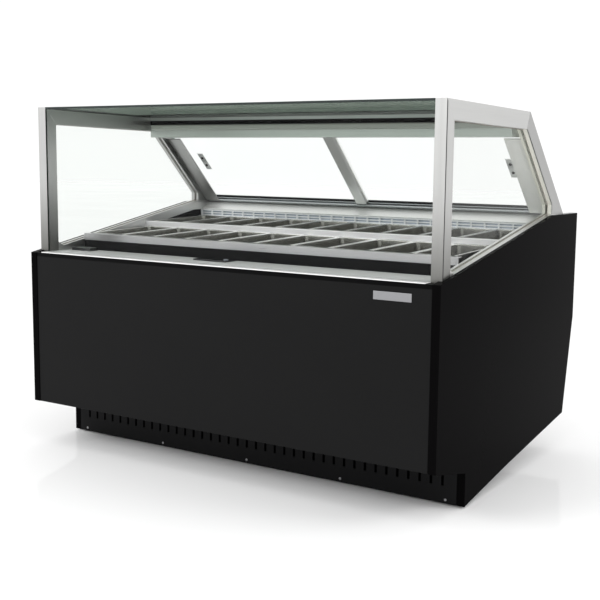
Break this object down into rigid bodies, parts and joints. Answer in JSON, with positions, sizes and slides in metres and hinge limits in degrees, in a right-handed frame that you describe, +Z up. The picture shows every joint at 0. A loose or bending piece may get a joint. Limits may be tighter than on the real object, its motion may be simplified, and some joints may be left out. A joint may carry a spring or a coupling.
{
  "type": "ice cream dipping cabinet",
  "caption": "Black gelato dipping cabinet with a straight-glass stainless canopy, sliding rear doors, tilted rows of lift-out steel pans and a slotted plinth.",
  "frame": {"origin": "on the floor, under the middle of the cabinet", "axes": "+X along the counter to the customer's right as seen from the front, +Y towards the operator's side with the sliding doors, +Z up"},
  "size_m": [1.8, 1.25, 1.347],
  "materials": {
    "black_laminate": "high gloss black laminate",
    "black_paint": "satin charcoal powder coat",
    "badge": "satin, blank",
    "zinc": "zinc plated",
    "foot_rubber": "matt",
    "foam": "black-skinned insulation",
    "brushed_steel": "grained stainless",
    "bright_steel": "bright stainless",
    "pan_steel": "polished stainless",
    "grille": "pale grey",
    "thermometer": "smoked window in a black case",
    "control_black": "gloss",
    "button_grey": "satin",
    "anodised": "anodised",
    "lamp": "opal diffuser",
    "clear_glass": "clear, green edge",
    "roof_tint": "clear, green edge",
    "inlet_plastic": "satin",
    "fins": "finned",
    "fan_plastic": "satin",
    "compressor_paint": "black enamel"
  },
  "bodies": {
    "cabinet": {"side_panel_left": "black_laminate", "side_panel_right": "black_laminate", "front_panel": "black_paint", "front_badge": "badge", "plinth": "black_paint", "plinth_screws": "zinc", "base_frame": "black_paint", "levelling_feet": "foot_rubber", "rear_panel": "black_paint", "power_inlet": "inlet_plastic", "tub_insulation": "foam", "tub_liner": "brushed_steel", "front_ledge": "bright_steel", "ledge_thermometer": "thermometer", "control_display": "control_black", "deck_front_rail": "bright_steel", "deck_middle_rail": "bright_steel", "discharge_grille": "grille", "rear_sill": "brushed_steel", "end_frame_left": "brushed_steel", "end_frame_right": "brushed_steel", "end_glass_left": "clear_glass", "end_glass_right": "clear_glass", "front_glass": "clear_glass", "roof_glass": "roof_tint", "rear_beam": "anodised", "led_strip": "lamp", "door_track": "anodised", "condenser_coil": "fins", "evaporator_coil": "fins", "compressor": "compressor_paint"},
    "door_left": {"door_glass_left": "clear_glass", "door_stile_left": "anodised", "door_pull_left": "brushed_steel"},
    "door_right": {"door_glass_right": "clear_glass", "door_stile_right": "anodised", "door_pull_right": "brushed_steel"},
    "condenser_fan": {"condenser_fan": "fan_plastic"},
    "evaporator_fan": {"evaporator_fan": "fan_plastic"},
    "control_button": {"control_button": "button_grey"},
    "pan_front_01": {"pan_front_01": "pan_steel"},
    "pan_rear_01": {"pan_rear_01": "pan_steel"},
    "pan_front_02": {"pan_front_02": "pan_steel"},
    "pan_rear_02": {"pan_rear_02": "pan_steel"},
    "pan_front_03": {"pan_front_03": "pan_steel"},
    "pan_rear_03": {"pan_rear_03": "pan_steel"},
    "pan_front_04": {"pan_front_04": "pan_steel"},
    "pan_rear_04": {"pan_rear_04": "pan_steel"},
    "pan_front_05": {"pan_front_05": "pan_steel"},
    "pan_rear_05": {"pan_rear_05": "pan_steel"},
    "pan_front_06": {"pan_front_06": "pan_steel"},
    "pan_rear_06": {"pan_rear_06": "pan_steel"},
    "pan_front_07": {"pan_front_07": "pan_steel"},
    "pan_rear_07": {"pan_rear_07": "pan_steel"},
    "pan_front_08": {"pan_front_08": "pan_steel"},
    "pan_rear_08": {"pan_rear_08": "pan_steel"},
    "pan_front_09": {"pan_front_09": "pan_steel"},
    "pan_rear_09": {"pan_rear_09": "pan_steel"},
    "pan_front_10": {"pan_front_10": "pan_steel"},
    "pan_rear_10": {"pan_rear_10": "pan_steel"}
  },
  "joints": [
    {"name": "door_left_slide", "type": "slide", "parent": "cabinet", "child": "door_left", "axis": [1, 0, 0], "range_m": [0, 0.78]},
    {"name": "door_right_slide", "type": "slide", "parent": "cabinet", "child": "door_right", "axis": [1, 0, 0], "range_m": [-0.78, 0]},
    {"name": "pan_front_01_lift", "type": "slide", "parent": "cabinet", "child": "pan_front_01", "axis": [0, 0, 1], "range_m": [0, 0.24]},
    {"name": "pan_front_02_lift", "type": "slide", "parent": "cabinet", "child": "pan_front_02", "axis": [0, 0, 1], "range_m": [0, 0.24]},
    {"name": "pan_front_03_lift", "type": "slide", "parent": "cabinet", "child": "pan_front_03", "axis": [0, 0, 1], "range_m": [0, 0.24]},
    {"name": "pan_front_04_lift", "type": "slide", "parent": "cabinet", "child": "pan_front_04", "axis": [0, 0, 1], "range_m": [0, 0.24]},
    {"name": "pan_front_05_lift", "type": "slide", "parent": "cabinet", "child": "pan_front_05", "axis": [0, 0, 1], "range_m": [0, 0.24]},
    {"name": "pan_front_06_lift", "type": "slide", "parent": "cabinet", "child": "pan_front_06", "axis": [0, 0, 1], "range_m": [0, 0.24]},
    {"name": "pan_front_07_lift", "type": "slide", "parent": "cabinet", "child": "pan_front_07", "axis": [0, 0, 1], "range_m": [0, 0.24]},
    {"name": "pan_front_08_lift", "type": "slide", "parent": "cabinet", "child": "pan_front_08", "axis": [0, 0, 1], "range_m": [0, 0.24]},
    {"name": "pan_front_09_lift", "type": "slide", "parent": "cabinet", "child": "pan_front_09", "axis": [0, 0, 1], "range_m": [0, 0.24]},
    {"name": "pan_front_10_lift", "type": "slide", "parent": "cabinet", "child": "pan_front_10", "axis": [0, 0, 1], "range_m": [0, 0.24]},
    {"name": "pan_rear_01_lift", "type": "slide", "parent": "cabinet", "child": "pan_rear_01", "axis": [0, 0, 1], "range_m": [0, 0.1]},
    {"name": "pan_rear_02_lift", "type": "slide", "parent": "cabinet", "child": "pan_rear_02", "axis": [0, 0, 1], "range_m": [0, 0.1]},
    {"name": "pan_rear_03_lift", "type": "slide", "parent": "cabinet", "child": "pan_rear_03", "axis": [0, 0, 1], "range_m": [0, 0.1]},
    {"name": "pan_rear_04_lift", "type": "slide", "parent": "cabinet", "child": "pan_rear_04", "axis": [0, 0, 1], "range_m": [0, 0.1]},
    {"name": "pan_rear_05_lift", "type": "slide", "parent": "cabinet", "child": "pan_rear_05", "axis": [0, 0, 1], "range_m": [0, 0.1]},
    {"name": "pan_rear_06_lift", "type": "slide", "parent": "cabinet", "child": "pan_rear_06", "axis": [0, 0, 1], "range_m": [0, 0.1]},
    {"name": "pan_rear_07_lift", "type": "slide", "parent": "cabinet", "child": "pan_rear_07", "axis": [0, 0, 1], "range_m": [0, 0.1]},
    {"name": "pan_rear_08_lift", "type": "slide", "parent": "cabinet", "child": "pan_rear_08", "axis": [0, 0, 1], "range_m": [0, 0.1]},
    {"name": "pan_rear_09_lift", "type": "slide", "parent": "cabinet", "child": "pan_rear_09", "axis": [0, 0, 1], "range_m": [0, 0.1]},
    {"name": "pan_rear_10_lift", "type": "slide", "parent": "cabinet", "child": "pan_rear_10", "axis": [0, 0, 1], "range_m": [0, 0.1]},
    {"name": "condenser_fan_spin", "type": "hinge", "parent": "cabinet", "child": "condenser_fan", "pos_m": [0.47, -0.232, 0.33], "axis": [0, 1, 0], "continuous": true},
    {"name": "evaporator_fan_spin", "type": "hinge", "parent": "cabinet", "child": "evaporator_fan", "pos_m": [0, 0.34, 0.6365], "axis": [0, 1, 0], "continuous": true},
    {"name": "control_button_press", "type": "slide", "parent": "cabinet", "child": "control_button", "axis": [0, 0, -1], "range_m": [0, 0.0015], "stiffness_N_per_m": 400}
  ]
}
